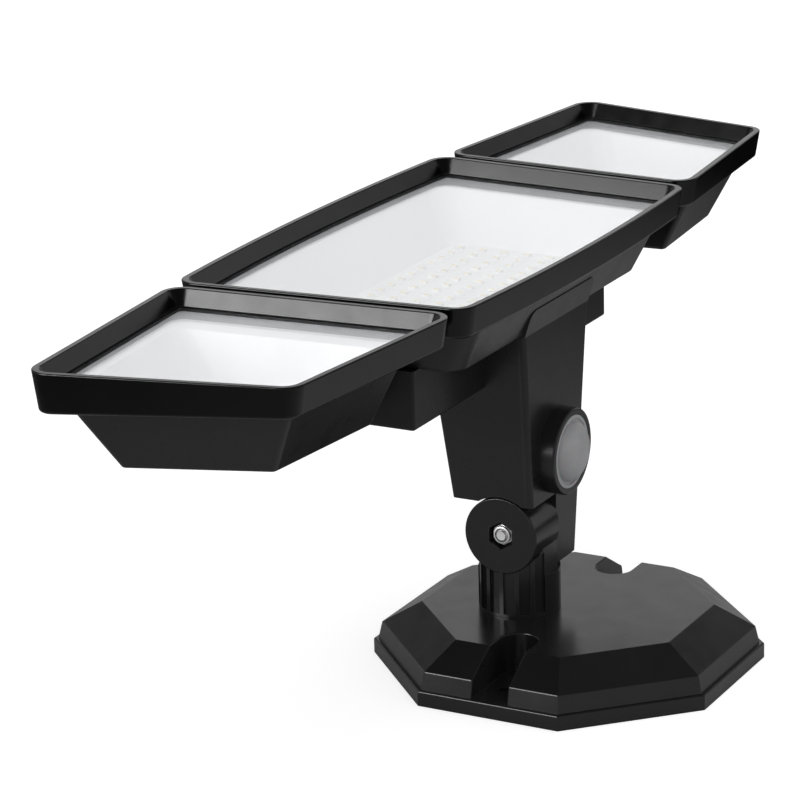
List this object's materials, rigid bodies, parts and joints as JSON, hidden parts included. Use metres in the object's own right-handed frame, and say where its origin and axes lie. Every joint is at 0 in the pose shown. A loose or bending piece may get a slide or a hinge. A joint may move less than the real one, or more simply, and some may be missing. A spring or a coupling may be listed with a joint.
{
  "type": "security light",
  "caption": "Wall security light: octagonal base, swivel post, tilting neck with a motion sensor, and a row of rectangular LED lamps on a crossbar, the outer lamps adjustable.",
  "frame": {"origin": "centre of the base, on its mounting face", "axes": "+X along the row of lamps, -Y the way the motion sensor looks, +Z out of the mounting face and the way the lamps shine"},
  "size_m": [0.466, 0.1912, 0.1787],
  "materials": {
    "housing_black": "satin",
    "seal_rubber": "matt",
    "moulding_cream": "matt",
    "steel": "plated",
    "dome_frosted": "frosted",
    "circuit_green": "solder mask",
    "component_dark": "matt",
    "lens_clear": "clear",
    "reflector_white": "satin",
    "board_white": "solder mask",
    "led_yellow": "phosphor"
  },
  "bodies": {
    "base": {"base_plate": "housing_black", "base_gasket": "seal_rubber", "terminal_block": "moulding_cream"},
    "post": {"swivel_post": "housing_black", "swivel_washer": "steel", "swivel_screw": "steel", "pivot_bolt": "steel", "pivot_nut": "steel", "pivot_washer": "steel", "friction_washer": "seal_rubber"},
    "head": {"neck_housing": "housing_black", "neck_cover": "housing_black", "neck_screws": "steel", "sensor_collar": "housing_black", "sensor_lens": "dome_frosted", "motion_sensor": "steel", "sensor_board": "circuit_green", "driver_board": "circuit_green", "driver_parts": "component_dark", "crossbar": "housing_black", "crossbar_screws": "steel", "centre_housing": "housing_black", "centre_bezel": "housing_black", "centre_lens": "lens_clear", "centre_seal": "seal_rubber", "centre_reflector": "reflector_white", "centre_led_board": "board_white", "centre_leds": "led_yellow"},
    "left_knuckle_body": {"left_knuckle": "housing_black", "left_knuckle_screw": "steel"},
    "left_lamp": {"left_housing": "housing_black", "left_bezel": "housing_black", "left_lens": "lens_clear", "left_seal": "seal_rubber", "left_reflector": "reflector_white", "left_led_board": "board_white", "left_leds": "led_yellow", "left_hinge_pin": "steel", "left_hinge_nut": "steel"},
    "right_knuckle_body": {"right_knuckle": "housing_black", "right_knuckle_screw": "steel"},
    "right_lamp": {"right_housing": "housing_black", "right_bezel": "housing_black", "right_lens": "lens_clear", "right_seal": "seal_rubber", "right_reflector": "reflector_white", "right_led_board": "board_white", "right_leds": "led_yellow", "right_hinge_pin": "steel", "right_hinge_nut": "steel"}
  },
  "joints": [
    {"name": "swivel", "type": "hinge", "parent": "base", "child": "post", "pos_m": [-0.009, 0.0175, 0.023], "axis": [0, 0, 1], "range_deg": [-90, 90]},
    {"name": "tilt", "type": "hinge", "parent": "post", "child": "head", "pos_m": [-0.004, 0.0175, 0.0582], "axis": [1, 0, 0], "range_deg": [-65, 0]},
    {"name": "left_twist", "type": "hinge", "parent": "head", "child": "left_knuckle_body", "pos_m": [-0.0915, 0.0507, 0.1343], "axis": [1, 0, 0], "range_deg": [-30, 30]},
    {"name": "left_fold", "type": "hinge", "parent": "left_knuckle_body", "child": "left_lamp", "pos_m": [-0.1145, 0.0507, 0.1343], "axis": [0, -1, 0], "range_deg": [0, 40]},
    {"name": "right_twist", "type": "hinge", "parent": "head", "child": "right_knuckle_body", "pos_m": [0.0835, 0.0507, 0.1343], "axis": [1, 0, 0], "range_deg": [-30, 30]},
    {"name": "right_fold", "type": "hinge", "parent": "right_knuckle_body", "child": "right_lamp", "pos_m": [0.1065, 0.0507, 0.1343], "axis": [0, 1, 0], "range_deg": [0, 40]}
  ]
}
